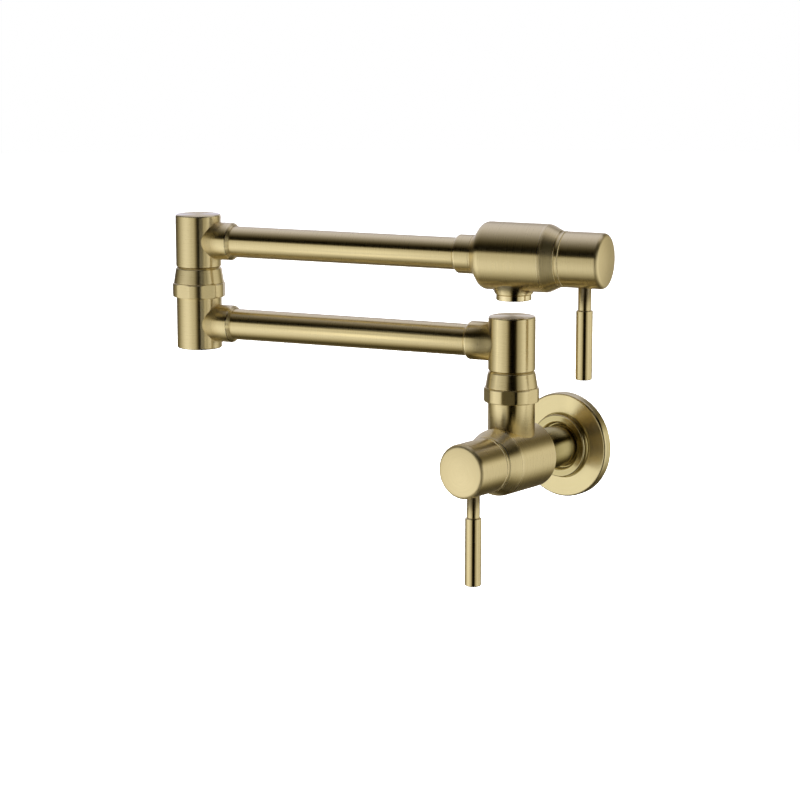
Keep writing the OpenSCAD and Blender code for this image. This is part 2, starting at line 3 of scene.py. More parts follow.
import json
import math

import bpy
from mathutils import Matrix, Vector


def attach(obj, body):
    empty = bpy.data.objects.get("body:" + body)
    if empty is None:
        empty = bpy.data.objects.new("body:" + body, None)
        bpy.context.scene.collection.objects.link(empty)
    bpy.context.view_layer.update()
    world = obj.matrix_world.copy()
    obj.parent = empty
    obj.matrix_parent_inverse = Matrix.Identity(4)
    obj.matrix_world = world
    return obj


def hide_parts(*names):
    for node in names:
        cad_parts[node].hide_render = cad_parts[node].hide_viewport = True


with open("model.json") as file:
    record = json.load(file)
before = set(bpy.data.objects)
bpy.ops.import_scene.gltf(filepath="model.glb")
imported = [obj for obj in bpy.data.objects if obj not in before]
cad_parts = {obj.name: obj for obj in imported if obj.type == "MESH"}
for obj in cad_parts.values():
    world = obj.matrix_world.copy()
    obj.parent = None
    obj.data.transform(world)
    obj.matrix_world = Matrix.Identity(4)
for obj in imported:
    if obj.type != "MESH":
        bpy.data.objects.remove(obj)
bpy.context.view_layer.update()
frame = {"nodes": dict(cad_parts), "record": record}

# Sizes, in millimetres and degrees. Those marked (look) are this script's own, the others the part's.
FIT = 0.03              # room between two pieces that fit together
TURN_GAP = 0.3          # room at each joint that turns
WATER_R = 6.0           # waterway in the valves

SHANK_R = 12.5
SHANK_END_R = 10.4      # the shank's end in the wall valve
SHANK_END_L = 8.0
THREAD_R = 9.3
THREAD_L = 12.5
THREAD_PITCH = 1.814    # (look) the solid's hole is plain
THREAD_DEPTH = 0.95     # (look)
FLANGE_R = 32.0
FLANGE_T = 6.0
FLANGE_HOLLOW = 3.0     # depth of the recess on the wall side
HUB_R = 19.2
HUB_H = 4.0
HUB_GROOVE = 1.2        # (look)

VALVE_R = 20.0
VALVE_RIM_R = 19.8      # (look) the edge where valve and bonnet meet
WALL_REAR = 39.4
WALL_FRONT = 75.0
SEAT_DEPTH = 24.0       # from a valve's front to the end of its cartridge bore
SPIGOT_R = 13.0         # the valve's end inside the bonnet
SPIGOT_L = 2.5
CARTRIDGE_R = 10.4

CAP_R = 16.3
CAP_L = 23.2
CAP_EDGE = 2.8          # (look) round of the handle's end
BONNET_L = 10.0
BONNET_HOLE_R = 6.7
LIP_R = CAP_R - 2.8     # (look) a lip inside the handle, so that no light shows through the gap
LIP_L = 1.8             # (look)
CAP_FROM = BONNET_L + TURN_GAP
LEVER_Z = 21.5
LEVER_L = 70.0
NECK_R = 3.9
NECK_END = 29.2
GRIP_R = 4.9
STUD_R = 2.4            # the rod's end inside the grip
STUD_L = 16.0
TIP_R = 2.9             # the rod's end inside the handle
TIP_FROM = 4.0

POST_Y = 59.0           # from the wall to the base swivel's axis
POST_R = 14.0
POST_BORE_R = 7.0
POST_RIM_R = 12.9       # the post's end inside the nut
POST_RIM_L = 8.0
STEM_R = 9.0
STEM_HOLE_R = 9.5
STEM_DEPTH = 6.1
TEE_H = 32.0
TEE_TOP = 5.0           # thickness of a post's closed end
NUT_R = 16.4
NUT_AF = 31.6           # across the flats
NUT_H = 8.8
NUT_TOP = 18.7
NUT_CHAMFER = 1.05      # (look)
NUT_SEAT = 11.45
BASE_NUT_TURN = 29.0    # (look) of its flats, as the photo shows them
MID_NUT_TURN = 3.0      # of the other nut's flats, from the wall
BASE_NUT = 34.6
BASE_TEE = BASE_NUT + NUT_TOP + TURN_GAP
MID_NUT = BASE_TEE + TEE_H
MID_TEE = MID_NUT + NUT_TOP + TURN_GAP

ARM_TURN = 14.0         # the lower arm's place in the photo
ARM_L = 208.0           # between the swivels' axes
ARM_Z = BASE_TEE + TEE_H / 2
UPPER_Z = MID_TEE + TEE_H / 2
TUBE_R = 9.5
TUBE_WALL = 1.5
TUBE_FROM = 10.2
TUBE_END = 191.0
COLLAR_R = 11.5
COLLAR_FROM = 9.5       # (look) the post's side then takes its place
COLLAR_CHAMFER = 1.8
INNER_COLLAR_TO = 25.9
ELBOW_COLLAR_TO = 23.8
SPOUT_COLLAR_L = 9.3

SPOUT_L = 209.0         # from the elbow's axis to the outlet's
SPOUT_REAR = 185.0
SPOUT_FRONT = 231.5
NECK_FROM = 184.0
SHOULDER_R = 5.5
NOZZLE_FROM = 15.0      # (look)
NOZZLE_R = 12.3         # (look)
NOZZLE_END = 22.1
NOZZLE_STEP = 17.1
AERATOR_R = 10.45
AERATOR_END = 25.5
AERATOR_THREAD_R = 9.15
AERATOR_HOLE_R = 7.3

# Sides of the turned meshes
SIDES = 192
LEVER_SIDES = 96
NUT_SIDES = 720


def rot(axis, degrees):
    return Matrix.Rotation(math.radians(degrees), 4, axis)


def shift(x, y, z):
    return Matrix.Translation((x, y, z))


# Frames, in millimetres, as the part has them
WALL = rot("X", 90) @ rot("Z", -90)
BASE_POST = shift(0, -POST_Y, 0)
BASE = BASE_POST @ rot("Z", 180 + ARM_TURN)
ELBOW = BASE @ shift(ARM_L, 0, 0) @ rot("Z", 180)
LOWER_ARM = BASE @ shift(0, 0, ARM_Z) @ rot("Y", 90)
LOWER_ARM_FAR = ELBOW @ shift(0, 0, ARM_Z) @ rot("Y", 90)
UPPER_ARM = ELBOW @ shift(0, 0, UPPER_Z) @ rot("Y", 90)
WALL_FACE = WALL @ shift(0, 0, WALL_FRONT)
SPOUT_FACE = UPPER_ARM @ shift(0, 0, SPOUT_FRONT)
OUTLET = UPPER_ARM @ shift(0, 0, SPOUT_L) @ rot("Y", 90)
LEVER = shift(0, 0, LEVER_Z) @ rot("Y", 90)


def placed(matrix):
    """A frame in millimetres as an object matrix in metres; meshes are in metres too."""
    out = matrix.copy()
    out.translation = out.translation * 0.001
    return out


# Mesh building
def rounded_corner(here, before, after, radius, steps, mark):
    """The arc that rounds one corner of a profile, as rows of outline()."""
    to_before, to_after = before - here, after - here
    len_before, len_after = to_before.length, to_after.length
    to_before.normalize()
    to_after.normalize()
    n1 = Vector((-to_before.y, to_before.x))
    n2 = Vector((to_after.y, -to_after.x))
    half = math.acos(max(-1.0, min(1.0, to_before.dot(to_after)))) / 2
    if radius <= 0 or half > 1.5:
        mean = (n1 + n2).normalized()
        return [(here.x, here.y, mean.x, mean.y, 0.0, mark)]
    cut = min(radius / math.tan(half), 0.49 * len_before, 0.49 * len_after)
    radius = cut * math.tan(half)
    turn = math.atan2(n1.x * n2.y - n1.y * n2.x, n1.dot(n2))
    side = 1 if turn > 0 else -1
    centre = here + to_before * cut - n1 * radius * side
    rows = []
    for k in range(steps + 1):
        angle = turn * k / steps
        cos, sin = math.cos(angle), math.sin(angle)
        normal = Vector((n1.x * cos - n1.y * sin, n1.x * sin + n1.y * cos))
        point = centre + normal * radius * side
        # weight of the painted highlight on a rounded edge, highest in the middle of its arc
        highlight_weight = math.sin(math.pi * k / steps) if turn > 0 else 0.0
        rows.append((point.x, point.y, normal.x, normal.y, highlight_weight, mark))
    return rows


def outline(points, closed, steps=5):
    """Rounds the corners of a profile, whose points are (r, z), (r, z, round) or (r, z, round, mark).
    Returns rows of (r, z, normal r, normal z, on a round edge, mark). A profile runs counter-clockwise,
    and its normals point outward."""
    full = [tuple(p) + (0, None)[len(p) - 2:] if len(p) < 4 else tuple(p) for p in points]
    count = len(full)
    rows = []
    for i, (r, z, radius, mark) in enumerate(full):
        here = Vector((r, z))
        if not closed and i in (0, count - 1):
            step = Vector(full[1][:2]) - here if i == 0 else here - Vector(full[-2][:2])
            along = step.normalized()
            rows.append((r, z, along.y, -along.x, 0.0, mark))
            continue
        before, after = Vector(full[i - 1][:2]), Vector(full[(i + 1) % count][:2])
        rows += rounded_corner(here, before, after, radius, steps, mark)
    return rows


def arc(centre_r, centre_z, radius, start, end, steps=10):
    angles = [math.radians(start + (end - start) * i / steps) for i in range(steps + 1)]
    return [(centre_r + radius * math.cos(a), centre_z + radius * math.sin(a)) for a in angles]


def dome(radius, height, z, steps=18):
    """Profile of a shallow dome, from its foot at z to its top on the axis."""
    big = (radius * radius + height * height) / (2 * height)
    half = math.asin(radius / big)
    angles = [half * (1 - i / steps) for i in range(steps + 1)]
    return [(big * math.sin(a), z + height - big + big * math.cos(a)) for a in angles]


def on_cylinder(radius, along):
    """Height of a cylinder's upper side that lies across the local Z axis, along local 'x' or 'y'."""
    if along == "x":
        return lambda x, y: math.sqrt(max(radius * radius - y * y, 0.0))
    return lambda x, y: math.sqrt(max(radius * radius - x * x, 0.0))


def mesh_object(name, matrix, verts, faces, uvs, normals, rim):
    """One mesh from millimetres, with its own normals, a UV map and an attribute that marks the rounded edges
    for a painted highlight.
    """
    mesh = bpy.data.meshes.new(name)
    mesh.from_pydata([Vector(v) * 0.001 for v in verts], [], faces)
    mesh.uv_layers.new(name="turned").data.foreach_set("uv", [c for uv in uvs for c in uv])
    mesh.attributes.new("rim", "FLOAT", "POINT").data.foreach_set("value", rim)
    mesh.shade_smooth()
    mesh.normals_split_custom_set_from_vertices([Vector(n).normalized() for n in normals])
    mesh.validate()
    obj = bpy.data.objects.new(name, mesh)
    bpy.context.scene.collection.objects.link(obj)
    obj.matrix_world = placed(matrix)
    return obj


def relief_normals(profile, rings, verts, normals, seg):
    """Normals from the points themselves, for the rows whose radius changes with the angle."""
    for i, row in enumerate(profile):
        mark = row[5]
        if mark in (None, "s"):
            continue
        following = (i + 1) % len(rings)
        lo = rings[i - 1] if profile[i - 1][5] == mark else rings[i]
        hi = rings[following] if profile[following][5] == mark else rings[i]
        for k in range(seg):
            about = Vector(verts[rings[i][(k + 1) % seg]]) - Vector(verts[rings[i][k - 1]])
            normals[rings[i][k]] = about.cross(Vector(verts[hi[k]]) - Vector(verts[lo[k]]))


def ring_faces(rings, along, closed, seg):
    """Faces between the rings of a turned piece, with UVs: x goes round, y runs along the profile."""
    faces, uvs = [], []
    for i in range(len(rings) if closed else len(rings) - 1):
        lo, hi = rings[i], rings[(i + 1) % len(rings)]
        v0, v1 = along[i] * 0.01, along[i + 1] * 0.01
        if len(lo) == 1 and len(hi) == 1:
            continue
        for k in range(seg):
            k2 = (k + 1) % seg
            u0, u1 = k / seg, (k + 1) / seg
            if len(lo) == 1:
                faces.append((lo[0], hi[k2], hi[k]))
                uvs += [((u0 + u1) / 2, v0), (u1, v1), (u0, v1)]
            elif len(hi) == 1:
                faces.append((lo[k], lo[k2], hi[0]))
                uvs += [(u0, v0), (u1, v0), ((u0 + u1) / 2, v1)]
            else:
                faces.append((lo[k], lo[k2], hi[k2], hi[k]))
                uvs += [(u0, v0), (u1, v0), (u1, v1), (u0, v1)]
    return faces, uvs


def turned(name, matrix, points, closed=True, seg=SIDES, saddle=None, radial=None):
    """Turns a rounded profile about local Z. A point marked 's' takes its height from saddle(x, y);
    radial(mark, angle, z, r) may give another radius."""
    profile = outline(points, closed)
    along = [0.0]
    for i in range(1, len(profile) + (1 if closed else 0)):
        p, q = profile[i - 1], profile[i % len(profile)]
        along.append(along[-1] + math.hypot(q[0] - p[0], q[1] - p[1]))
    verts, normals, rim, rings = [], [], [], []
    for r, z, normal_r, normal_z, highlight_weight, mark in profile:
        if r < 1e-6:
            rings.append([len(verts)])
            verts.append((0, 0, z))
            normals.append((0, 0, normal_z if abs(normal_z) > 1e-6 else 1))
            rim.append(highlight_weight)
            continue
        ring = []
        for k in range(seg):
            angle = 2 * math.pi * k / seg
            cos, sin = math.cos(angle), math.sin(angle)
            radius = radial(mark, angle, z, r) if radial else r
            x, y = radius * cos, radius * sin
            ring.append(len(verts))
            verts.append((x, y, saddle(x, y) if mark == "s" and saddle else z))
            normals.append((normal_r * cos, normal_r * sin, normal_z))
            rim.append(highlight_weight)
        rings.append(ring)
    if radial:
        relief_normals(profile, rings, verts, normals, seg)
    faces, uvs = ring_faces(rings, along, closed, seg)
    return mesh_object(name, matrix, verts, faces, uvs, normals, rim)


# Shader building
def node(tree, kind, **values):
    out = tree.nodes.new(kind)
    for key, value in values.items():
        setattr(out, key, value)
    return out


def math_node(tree, operation, *values):
    """A math node; each value is a number or another node's output."""
    out = node(tree, "ShaderNodeMath", operation=operation)
    for i, value in enumerate(values):
        if isinstance(value, (int, float)):
            out.inputs[i].default_value = value
        else:
            tree.links.new(value, out.inputs[i])
    return out.outputs[0]


def ramp(tree, value, lo, hi, to_lo, to_hi, kind="LINEAR"):
    out = node(tree, "ShaderNodeMapRange", interpolation_type=kind, clamp=True)
    tree.links.new(value, out.inputs[0])
    for i, number in zip((1, 2, 3, 4), (lo, hi, to_lo, to_hi)):
        out.inputs[i].default_value = number
    return out.outputs[0]


def mixed(tree, factor, low, high):
    """A colour between two; low is a colour or another node's output."""
    out = node(tree, "ShaderNodeMix", data_type="RGBA")
    tree.links.new(factor, out.inputs[0])
    if isinstance(low, tuple):
        out.inputs[6].default_value = low
    else:
        tree.links.new(low, out.inputs[6])
    out.inputs[7].default_value = high
    return out.outputs[2]


def noise_of(tree, vector, scale, detail):
    out = node(tree, "ShaderNodeTexNoise", noise_dimensions="3D")
    out.inputs["Scale"].default_value = scale
    out.inputs["Detail"].default_value = detail
    tree.links.new(vector, out.inputs["Vector"])
    return out.outputs["Fac"]


def add_bump(tree, shader, height, strength, distance):
    bump = node(tree, "ShaderNodeBump")
    bump.inputs["Strength"].default_value = strength
    bump.inputs["Distance"].default_value = distance
    tree.links.new(height, bump.inputs["Height"])
    tree.links.new(bump.outputs[0], shader.inputs["Normal"])


def brushed_vector(tree, fine, coarse):
    """Coordinates of turned brushing: long around the axis and fine along the profile."""
    uv = node(tree, "ShaderNodeUVMap", uv_map="turned")
    parts = node(tree, "ShaderNodeSeparateXYZ")
    tree.links.new(uv.outputs[0], parts.inputs[0])
    angle = math_node(tree, "MULTIPLY", parts.outputs[0], 2 * math.pi)
    vector = node(tree, "ShaderNodeCombineXYZ")
    for i, value in enumerate((
            math_node(tree, "MULTIPLY", math_node(tree, "COSINE", angle), coarse),
            math_node(tree, "MULTIPLY", math_node(tree, "SINE", angle), coarse),
            math_node(tree, "MULTIPLY", parts.outputs[1], 100.0 * fine))):
        tree.links.new(value, vector.inputs[i])
    return vector.outputs[0]


# Materials
EDGE_HIGHLIGHT_GOLD = (0.86, 0.755, 0.49, 1)      # the paler tone painted on a rounded edge as its highlight


def gold(name, base=(0.81, 0.685, 0.385), rough=0.30, aniso=1.0, lines=0.08):
    """Brushed, gold-coated brass: circular brushing, a smoother edge with a painted highlight in a paler
    colour, faint tone variation.
    """
    material = bpy.data.materials.new(name)
    material.use_nodes = True
    tree = material.node_tree
    shader = tree.nodes["Principled BSDF"]
    shader.inputs["Metallic"].default_value = 1.0
    shader.inputs["Anisotropic"].default_value = aniso
    shader.inputs["Anisotropic Rotation"].default_value = 0.25
    tangent = node(tree, "ShaderNodeTangent", direction_type="UV_MAP", uv_map="turned")
    tree.links.new(tangent.outputs[0], shader.inputs["Tangent"])
    fine = noise_of(tree, brushed_vector(tree, 9.0, 2.2), 1.0, 3.0)
    broad = noise_of(tree, brushed_vector(tree, 1.6, 1.3), 1.0, 2.0)
    rim = node(tree, "ShaderNodeAttribute", attribute_name="rim", attribute_type="GEOMETRY")
    # Roughness: brushing lines, less on the rounded edges
    lined = ramp(tree, fine, 0.25, 0.75, rough - 0.02, rough + 0.025)
    uneven = math_node(tree, "ADD", lined, ramp(tree, broad, 0.3, 0.7, -0.012, 0.012))
    smoother = math_node(tree, "MULTIPLY", rim.outputs["Fac"], 0.06)
    tree.links.new(math_node(tree, "SUBTRACT", uneven, smoother), shader.inputs["Roughness"])
    # Colour: the coating varies a little with the brushing; the rounded edges are painted paler, a painted
    # highlight
    red, green, blue = base
    deeper = (red * 0.955, green * 0.945, blue * 0.92, 1)
    lighter = (min(red * 1.04, 1), min(green * 1.04, 1), blue * 1.06, 1)
    coat = mixed(tree, ramp(tree, broad, 0.3, 0.7, 0.2, 0.8), deeper, lighter)
    # painted highlight: the rounded edges are mixed toward a paler gold
    highlight_weight = math_node(tree, "MULTIPLY", rim.outputs["Fac"], 0.55)
    tree.links.new(mixed(tree, highlight_weight, coat, EDGE_HIGHLIGHT_GOLD), shader.inputs["Base Color"])
    add_bump(tree, shader, fine, lines, 0.000004)
    return material


def plain(name, base, rough, metallic=0.0, scale=900.0, tone=0.10, grain=0.00002):
    """A small inner piece: its tone and grain come from object coordinates."""
    material = bpy.data.materials.new(name)
    material.use_nodes = True
    tree = material.node_tree
    shader = tree.nodes["Principled BSDF"]
    shader.inputs["Metallic"].default_value = metallic
    coordinates = node(tree, "ShaderNodeTexCoord")
    cloud = noise_of(tree, coordinates.outputs["Object"], scale, 4.0)
    darker = tuple(c * (1 - tone) for c in base) + (1,)
    lighter = tuple(min(c * (1 + tone), 1) for c in base) + (1,)
    tree.links.new(mixed(tree, cloud, darker, lighter), shader.inputs["Base Color"])
    roughness = ramp(tree, cloud, 0.3, 0.7, rough - 0.05, rough + 0.05)
    tree.links.new(roughness, shader.inputs["Roughness"])
    add_bump(tree, shader, cloud, 0.5, grain)
    return material


GOLD = gold("gold_brushed", rough=0.29)
# A darker copy of the gold, as painted shade: the inlet shank lies in the shade of the flange and the barrel
SHADED_SHANK_GOLD = gold("gold_shank_painted_shade", base=(0.46, 0.39, 0.18), rough=0.18, lines=0.05)
# A darker copy of the gold, as painted shade over the flange's face
SHADED_FLANGE_GOLD = gold("gold_flange_painted_shade", base=(0.70, 0.60, 0.33), rough=0.22, lines=0.03)
# A much darker copy of the gold, as painted shade on the hub ring and its groove
SHADED_HUB_GOLD = gold("gold_hub_painted_shade", base=(0.50, 0.425, 0.21), rough=0.18, aniso=0.5, lines=0.05)
POLISHED_GOLD = gold("gold_polished", base=(0.83, 0.71, 0.43), rough=0.12, aniso=0.2, lines=0.06)
SPUN_GOLD = gold("gold_spun", base=(0.81, 0.69, 0.40), rough=0.42, aniso=0.2, lines=0.1)
INNER = {
    "raw_brass": plain("raw_brass_turned", (0.62, 0.47, 0.22), 0.30, metallic=1.0, scale=1400, grain=0.00001),
    "seal_rubber": plain("seal_rubber_black", (0.022, 0.022, 0.024), 0.62, scale=2200, tone=0.25),
    "ceramic": plain("ceramic_white", (0.82, 0.81, 0.77), 0.16, scale=3000, tone=0.03, grain=0.000004),
    "bearing_plastic": plain("bearing_white", (0.78, 0.78, 0.74), 0.45, scale=1800, tone=0.04),
    "clip_steel": plain("clip_steel_bright", (0.55, 0.56, 0.58), 0.28, metallic=1.0, scale=1500),
    "insert_plastic": plain("insert_grey", (0.30, 0.31, 0.33), 0.42, scale=1600, tone=0.08),
    "brushed_gold": GOLD,
}
SLOT_OF = {s["node"]: s["material_slot"] for s in frame["record"]["subparts"]}
BODY_OF = {n: body for body, nodes in frame["record"]["behaviour"]["bodies"].items() for n in nodes}


def dress_solids():
    """Every CAD node gets its slot's material; the visible ones are then replaced."""
    for name, obj in frame["nodes"].items():
        obj.data.materials.clear()
        obj.data.materials.append(INNER[SLOT_OF[name]])
        for poly in obj.data.polygons:
            poly.material_index = 0


def dress(obj, cad_node, material=GOLD):
    """The piece stands for a CAD node, rides on its body and takes its material: its finish, or a darker copy
    of the gold that paints shade.
    """
    obj.data.materials.append(material)
    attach(obj, BODY_OF[cad_node])
    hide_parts(cad_node)
    return obj


def second_finish_or_shade(obj, material, belongs):
    """Gives the faces whose centre, in millimetres, belongs(r, z) another material: a finish of their own, or
    a darker copy of the gold as painted shade.
    """
    obj.data.materials.append(material)
    for poly in obj.data.polygons:
        x, y, z = poly.center * 1000
        if belongs(math.hypot(x, y), z):
            poly.material_index = 1


dress_solids()


# Pieces at the wall
def wall_flange():
    rebate_r, rebate_end = 16.2, 28.5
    top = FLANGE_T + HUB_H
    floor_z = FLANGE_T + 0.5
    # The flange takes a darker copy of the gold, which paints shade
    flange = dress(turned("wall_flange", WALL, [
        (SHANK_R + FIT, 0), (rebate_r, 0, 0.3), (rebate_r, FLANGE_HOLLOW, 0.4),
        (rebate_end, FLANGE_HOLLOW, 0.4), (rebate_end, 0, 0.3),
        (FLANGE_R, 0, 0.25), (FLANGE_R, FLANGE_T, 1.6), (HUB_R + 0.85, FLANGE_T, 0.15),
        (HUB_R + 0.8, FLANGE_T - HUB_GROOVE), (HUB_R, FLANGE_T - HUB_GROOVE), (HUB_R, top, 0.9),
        (SHANK_R + 1.5, top, 1.7), (SHANK_R + 1.3, floor_z, 0.2), (SHANK_R + FIT, floor_z)]),
        "escutcheon", SHADED_FLANGE_GOLD)
    # The hub ring and its groove take a still darker copy of the gold: painted shade
    second_finish_or_shade(flange, SHADED_HUB_GOLD, lambda r, z: r < HUB_R + 0.82 and z > FLANGE_HOLLOW)


def thread_radius(mark, angle, z, r):
    """Radius of the inlet's female thread, for the rows marked 't'."""
    if mark != "t":
        return r
    phase = (z / THREAD_PITCH + angle / (2 * math.pi)) % 1.0
    cut = max(0.0, 1.0 - abs(phase - 0.5) / 0.40)
    ends = min(1.0, max(0.0, z / 1.2), max(0.0, (THREAD_L - z) / 0.8))
    return r + THREAD_DEPTH * min(cut, 0.85) * ends


def inlet_shank():
    rows = 96
    washer_r, washer_end = 9.8, THREAD_L + 2.2
    tip = WALL_REAR + SHANK_END_L
    thread = [(THREAD_R, THREAD_L - i * THREAD_L / rows, 0, "t") for i in range(1, rows)]
    # The shank takes a darker copy of the gold, which paints shade
    dress(turned("inlet_shank_form", WALL, [
        (THREAD_R, 0, 0.3), (SHANK_R, 0, 0.3), (SHANK_R, WALL_REAR), (SHANK_END_R, WALL_REAR),
        (SHANK_END_R, tip, 0.4), (WATER_R, tip, 0.3), (WATER_R, washer_end),
        (washer_r, washer_end), (washer_r, THREAD_L), (THREAD_R, THREAD_L)] + thread,
        radial=thread_radius), "inlet_shank", SHADED_SHANK_GOLD)


def valve_front(front):
    """Profile of a valve body's front, from its rim to the end of its cartridge bore."""
    return [
        (VALVE_R, front - 1.2, 5), (VALVE_RIM_R, front, 0.1), (SPIGOT_R, front),
        (SPIGOT_R, front + SPIGOT_L, 0.3), (CARTRIDGE_R + FIT, front + SPIGOT_L, 0.2),
        (CARTRIDGE_R + FIT, front - SEAT_DEPTH), (WATER_R, front - SEAT_DEPTH)]


def wall_valve():
    tip = WALL_REAR + SHANK_END_L
    dress(turned("wall_valve_barrel", WALL, [
        (WATER_R, tip + 0.2), (SHANK_END_R + FIT, tip), (SHANK_END_R + FIT, WALL_REAR, 0.3),
        (VALVE_R, WALL_REAR, 1.7)] + valve_front(WALL_FRONT)), "wall_valve_body")


def bonnet(name, matrix, cad_node):
    """Conical ring between a valve body and its handle, with the groove below its rim."""
    groove_r, rim_r = CAP_R - 0.35, CAP_R + 0.1
    inner_top = BONNET_L - 1.6
    lip_top, lip_inner_r = BONNET_L + LIP_L, LIP_R - 1.2
    dress(turned(name, matrix, [
        (BONNET_HOLE_R, inner_top, 0.2), (SPIGOT_R + FIT, inner_top), (SPIGOT_R + FIT, 0.02),
        (VALVE_RIM_R, 0.02, 0.1), (VALVE_R - 0.62, 1.2, 5), (CAP_R + 0.25, 7.1, 1.6),
        (groove_r, 7.75, 0.15), (groove_r, 8.05, 0.15), (rim_r, 8.45, 0.45),
        (rim_r, BONNET_L - 0.1, 0.35), (CAP_R - 0.9, BONNET_L, 0.2), (LIP_R, BONNET_L),
        (LIP_R, lip_top, 0.2), (lip_inner_r, lip_top, 0.2), (lip_inner_r, BONNET_L),
        (BONNET_HOLE_R, BONNET_L, 0.3)]), cad_node)


# Posts and swivels
def nut_end(nut_z):
    """Profile of a post's end inside a nut, from its shoulder to its bore."""
    top = nut_z + POST_RIM_L
    return [
        (POST_R, nut_z - 0.05, 0.25), (POST_RIM_R, nut_z - 0.05), (POST_RIM_R, top, 0.3),
        (STEM_HOLE_R, top, 0.3), (STEM_HOLE_R, nut_z - STEM_DEPTH), (POST_BORE_R, nut_z - STEM_DEPTH)]


def base_post():
    foot = 15.5
    dress(turned("base_post_form", BASE_POST, [
        (POST_BORE_R, foot), (POST_R, foot, 0, "s")] + nut_end(BASE_NUT),
        saddle=on_cylinder(VALVE_R, "y")), "base_post")


def elbow_lower_post():
    dress(turned("elbow_lower_post_form", ELBOW, [
        (0, BASE_TEE), (POST_R, BASE_TEE, 1.15)] + nut_end(MID_NUT) + [
        (POST_BORE_R, BASE_TEE + TEE_TOP), (0, BASE_TEE + TEE_TOP)]), "elbow_lower_post")


def hanging_post(name, matrix, z, cad_node):
    """A post that turns on the stem below it."""
    dress(turned(name, matrix @ shift(0, 0, z), [
        (STEM_R + FIT, 0, 0.2), (POST_R, 0, 0.45), (POST_R, TEE_H, 1.15), (0, TEE_H),
        (0, TEE_H - TEE_TOP), (POST_BORE_R, TEE_H - TEE_TOP), (POST_BORE_R, STEM_DEPTH),
        (STEM_R + FIT, STEM_DEPTH)]), cad_node)


def swivel_nut(name, matrix, turn, cad_node):
    """Nut with six flats, a cone and a bore. The flats come from the radius as a function of the angle."""
    rows = 72
    blend = 14.0            # the larger, the sharper the flats' corners

    def flat(mark, angle, z, r):
        if mark != "f":
            return r
        facing = (angle - math.radians(turn)) % (math.pi / 3) - math.pi / 6
        hexagon = NUT_AF / 2 / math.cos(facing)
        return -math.log(math.exp(-blend * r) + math.exp(-blend * hexagon)) / blend

    band = []
    for i in range(rows + 1):
        z = NUT_H * i / rows
        from_end = min(z, NUT_H - z)
        r = NUT_R
        if from_end < NUT_CHAMFER:
            r += math.sqrt(max(NUT_CHAMFER ** 2 - (NUT_CHAMFER - from_end) ** 2, 0)) - NUT_CHAMFER
        band.append((r, z, 0, "f"))
    cone_r, bore_r = NUT_R - 0.9, POST_RIM_R + FIT
    dress(turned(name, matrix, band + [
        (cone_r, NUT_H + 0.02, 0), (cone_r, NUT_H + 0.5, 0.5), (POST_R + 0.15, NUT_TOP - 1.25, 0.3),
        (POST_R - 0.85, NUT_TOP, 0.35), (STEM_HOLE_R, NUT_TOP, 0.2), (STEM_HOLE_R, NUT_SEAT),
        (bore_r, NUT_SEAT), (bore_r, 0)], seg=NUT_SIDES, radial=flat), cad_node)


# Arms
def post_collar(name, matrix, end, cad_node):
    dress(turned(name, matrix, [
        (TUBE_R + FIT, COLLAR_FROM, 0, "s"), (COLLAR_R, COLLAR_FROM, 0, "s"), (COLLAR_R, end, 1.5),
        (TUBE_R + 0.35, end + COLLAR_CHAMFER - 0.05, 0.3), (TUBE_R + FIT, end + COLLAR_CHAMFER)],
        saddle=on_cylinder(POST_R - 0.02, "x")), cad_node)


def arm_tube(name, matrix, end, cad_node):
    bore_r = TUBE_R - TUBE_WALL
    dress(turned(name, matrix, [
        (bore_r, TUBE_FROM, 0.2), (TUBE_R, TUBE_FROM, 0.2), (TUBE_R, end, 0.2), (bore_r, end, 0.2)]),
        cad_node)


# Spout valve and outlet
def spout_collar():
    start = NECK_FROM - SPOUT_COLLAR_L
    dress(turned("upper_outer_collar_form", UPPER_ARM, [
        (TUBE_R + FIT, start - COLLAR_CHAMFER), (TUBE_R + 0.35, start - COLLAR_CHAMFER + 0.05, 0.3),
        (COLLAR_R, start, 1.5), (COLLAR_R, NECK_FROM, 0.15), (TUBE_R + FIT, NECK_FROM)]),
        "upper_outer_collar")


def spout_valve():
    neck_r = COLLAR_R - 0.1
    shoulder = arc(VALVE_R - SHOULDER_R, SPOUT_REAR + 9, SHOULDER_R, -55, 0, 16)
    dress(turned("spout_valve_barrel", UPPER_ARM, [
        (TUBE_R + FIT, TUBE_END), (TUBE_R + FIT, NECK_FROM + 0.02), (neck_r, NECK_FROM + 0.02, 0.12),
        (neck_r, SPOUT_REAR, 0.8)] + shoulder + valve_front(SPOUT_FRONT) + [(WATER_R, TUBE_END)]),
        "spout_valve_body")


def spout_nozzle():
    bore_r, way_r = AERATOR_THREAD_R + FIT, 6.5
    dress(turned("spout_nozzle_form", OUTLET, [
        (way_r, NOZZLE_FROM), (NOZZLE_R, NOZZLE_FROM, 0, "s"), (AERATOR_R + 0.7, NOZZLE_END - 0.4, 0.25),
        (AERATOR_R - 0.1, NOZZLE_END, 0.1), (bore_r, NOZZLE_END, 0.1), (bore_r, NOZZLE_STEP),
        (way_r, NOZZLE_STEP)], saddle=on_cylinder(VALVE_R, "x")), "spout_nozzle")


def aerator():
    inner_r, start = 8.0, 18.0
    lip_z = AERATOR_END - 1.1
    dress(turned("aerator_housing_form", OUTLET, [
        (inner_r, start), (AERATOR_THREAD_R, start, 0.15), (AERATOR_THREAD_R, NOZZLE_END),
        (AERATOR_R, NOZZLE_END + 0.02, 0.25), (AERATOR_R, AERATOR_END, 0.7),
        (AERATOR_HOLE_R, AERATOR_END, 0.35), (AERATOR_HOLE_R, lip_z), (inner_r, lip_z)]),
        "aerator_housing", POLISHED_GOLD)


